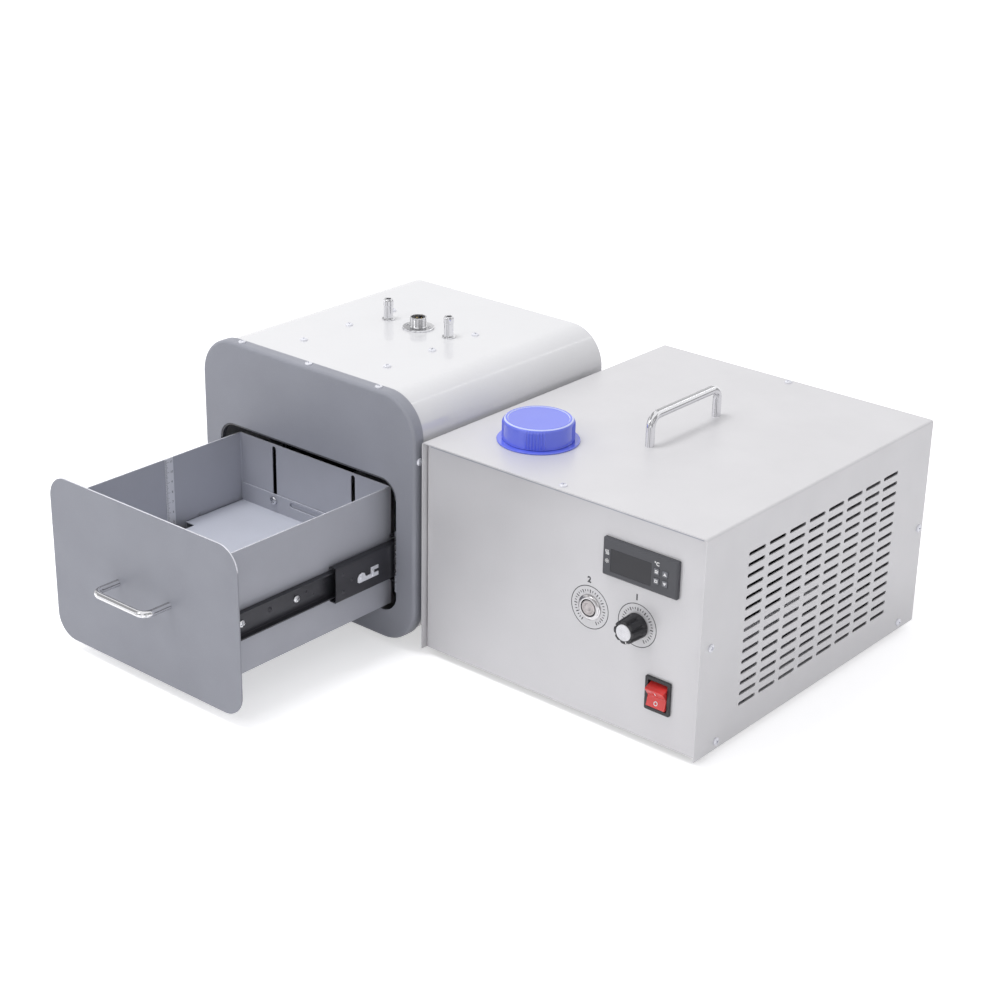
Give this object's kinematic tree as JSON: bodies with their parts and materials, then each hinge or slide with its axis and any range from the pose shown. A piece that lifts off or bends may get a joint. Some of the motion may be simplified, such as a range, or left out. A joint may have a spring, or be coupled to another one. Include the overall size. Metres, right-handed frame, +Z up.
{
  "type": "uv curing box with cooling and control unit",
  "caption": "Bench curing box with rounded shell and pull-out drawer beside a vented, water-cooled control unit with dials, display and rocker switch.",
  "frame": {"origin": "on the bench, at the middle of the box round both units, with the drawer open as it rests", "axes": "+X to the right along the fronts, +Y to the back, +Z up"},
  "size_m": [0.573, 0.6006, 0.2619],
  "materials": {
    "grey_powder": "fine powder coat",
    "white_wrap": "satin paint with light orange peel",
    "silver_paint": "satin light grey paint",
    "zinc": "bright zinc plating",
    "black_steel": "black electrocoat",
    "chrome": "polished",
    "alloy": "machined",
    "led_white": "white solder mask with emitters",
    "glass": "clear",
    "rubber": "matte",
    "steel_scale": "printed height marks",
    "blue_plastic": "glossy, slightly translucent",
    "tank_plastic": "natural",
    "black_plastic": "fine grain",
    "charcoal_plastic": "fine grain",
    "key_plastic": "smooth",
    "display": "smoked",
    "red_plastic": "translucent"
  },
  "bodies": {
    "units": {"button_bezel": "chrome", "cable_gland": "black_plastic", "carry_handle": "chrome", "chamber_back_panel": "white_wrap", "chamber_feet": "rubber", "chamber_front_frame": "grey_powder", "chamber_shell": "white_wrap", "control_back_panel": "silver_paint", "control_base": "silver_paint", "control_cover": "silver_paint", "control_feet": "rubber", "control_front_panel": "silver_paint", "controller_case": "charcoal_plastic", "display_window": "display", "fan_frame": "black_plastic", "lamp_cold_plate": "alloy", "lamp_driver": "alloy", "lamp_screws": "zinc", "lamp_sockets": "chrome", "lamp_window": "glass", "lamp_window_frame": "alloy", "led_board": "led_white", "potentiometer": "black_plastic", "pump": "black_plastic", "radiator": "alloy", "rocker_bezel": "black_plastic", "runner_rail_left": "zinc", "runner_rail_right": "zinc", "slide_outer_left": "black_steel", "slide_outer_right": "black_steel", "tank_neck": "blue_plastic", "water_barbs": "chrome", "water_tank": "tank_plastic"},
    "drawer": {"drawer_tray": "grey_powder", "drawer_front": "grey_powder", "drawer_handle": "chrome", "drawer_screws": "zinc", "slide_inner_left": "black_steel", "slide_inner_right": "black_steel", "height_scale": "steel_scale"},
    "slide_middles": {"slide_middle_left": "black_steel", "slide_middle_right": "black_steel", "slide_latches": "zinc"},
    "retainers_outer": {"ball_retainers_outer": "zinc"},
    "retainers_inner": {"ball_retainers_inner": "zinc"},
    "tray_platform": {"platform": "grey_powder", "clamp_screws": "zinc", "clamp_nuts": "zinc"},
    "knob": {"control_knob": "black_plastic", "knob_cap": "alloy", "dial_shaft": "alloy"},
    "button": {"push_button": "chrome"},
    "rocker": {"power_rocker": "red_plastic"},
    "key_1": {"controller_key_1": "key_plastic"},
    "key_2": {"controller_key_2": "key_plastic"},
    "key_3": {"controller_key_3": "key_plastic"},
    "key_4": {"controller_key_4": "key_plastic"},
    "liner": {"cap_liner": "rubber"},
    "cap": {"filler_cap": "blue_plastic"},
    "fan": {"fan_rotor": "black_plastic"}
  },
  "joints": [
    {"name": "drawer_slide", "type": "slide", "parent": "units", "child": "drawer", "axis": [0, -1, 0], "range_m": [-0.194, 0.008]},
    {"name": "slide_middles_follow", "type": "slide", "parent": "units", "child": "slide_middles", "axis": [0, -1, 0], "range_m": [-0.0755, 0.00359]},
    {"name": "retainers_outer_follow", "type": "slide", "parent": "units", "child": "retainers_outer", "axis": [0, -1, 0], "range_m": [-0.038, 0.00205]},
    {"name": "retainers_inner_follow", "type": "slide", "parent": "units", "child": "retainers_inner", "axis": [0, -1, 0], "range_m": [-0.135, 0.00605]},
    {"name": "platform_lift", "type": "slide", "parent": "drawer", "child": "tray_platform", "axis": [0, 0, 1], "range_m": [-0.03, 0.048]},
    {"name": "knob_turn", "type": "hinge", "parent": "units", "child": "knob", "pos_m": [0.22, -0.06367, 0.1073], "axis": [0, 1, 0], "range_deg": [-300, 0]},
    {"name": "button_press", "type": "slide", "parent": "units", "child": "button", "axis": [0, 1, 0], "range_m": [0, 0.0015], "stiffness_N_per_m": 500},
    {"name": "rocker_tip", "type": "hinge", "parent": "units", "child": "rocker", "pos_m": [0.245, -0.05767, 0.0515], "axis": [1, 0, 0], "range_deg": [-20, 0]},
    {"name": "key_1_press", "type": "slide", "parent": "units", "child": "key_1", "axis": [0, 1, 0], "range_m": [0, 0.0005], "stiffness_N_per_m": 500},
    {"name": "key_2_press", "type": "slide", "parent": "units", "child": "key_2", "axis": [0, 1, 0], "range_m": [0, 0.0005], "stiffness_N_per_m": 500},
    {"name": "key_3_press", "type": "slide", "parent": "units", "child": "key_3", "axis": [0, 1, 0], "range_m": [0, 0.0005], "stiffness_N_per_m": 500},
    {"name": "key_4_press", "type": "slide", "parent": "units", "child": "key_4", "axis": [0, 1, 0], "range_m": [0, 0.0005], "stiffness_N_per_m": 500},
    {"name": "cap_lift", "type": "slide", "parent": "units", "child": "liner", "axis": [0, 0, 1], "range_m": [-0.0001, 0.0047]},
    {"name": "cap_turn", "type": "hinge", "parent": "liner", "child": "cap", "pos_m": [0.0565, 0.00432, 0.206], "axis": [0, 0, 1], "range_deg": [0, 540]},
    {"name": "fan_spin", "type": "hinge", "parent": "units", "child": "fan", "pos_m": [0.0965, 0.26432, 0.1], "axis": [0, 1, 0], "continuous": true}
  ],
  "couplings": [
    {"joint": "slide_middles_follow", "follows": "drawer_slide", "ratio": 0.3866},
    {"joint": "retainers_outer_follow", "follows": "drawer_slide", "ratio": 0.1933},
    {"joint": "retainers_inner_follow", "follows": "drawer_slide", "ratio": 0.6933},
    {"joint": "cap_lift", "follows": "cap_turn", "m_per_rad": 0.00047746}
  ]
}
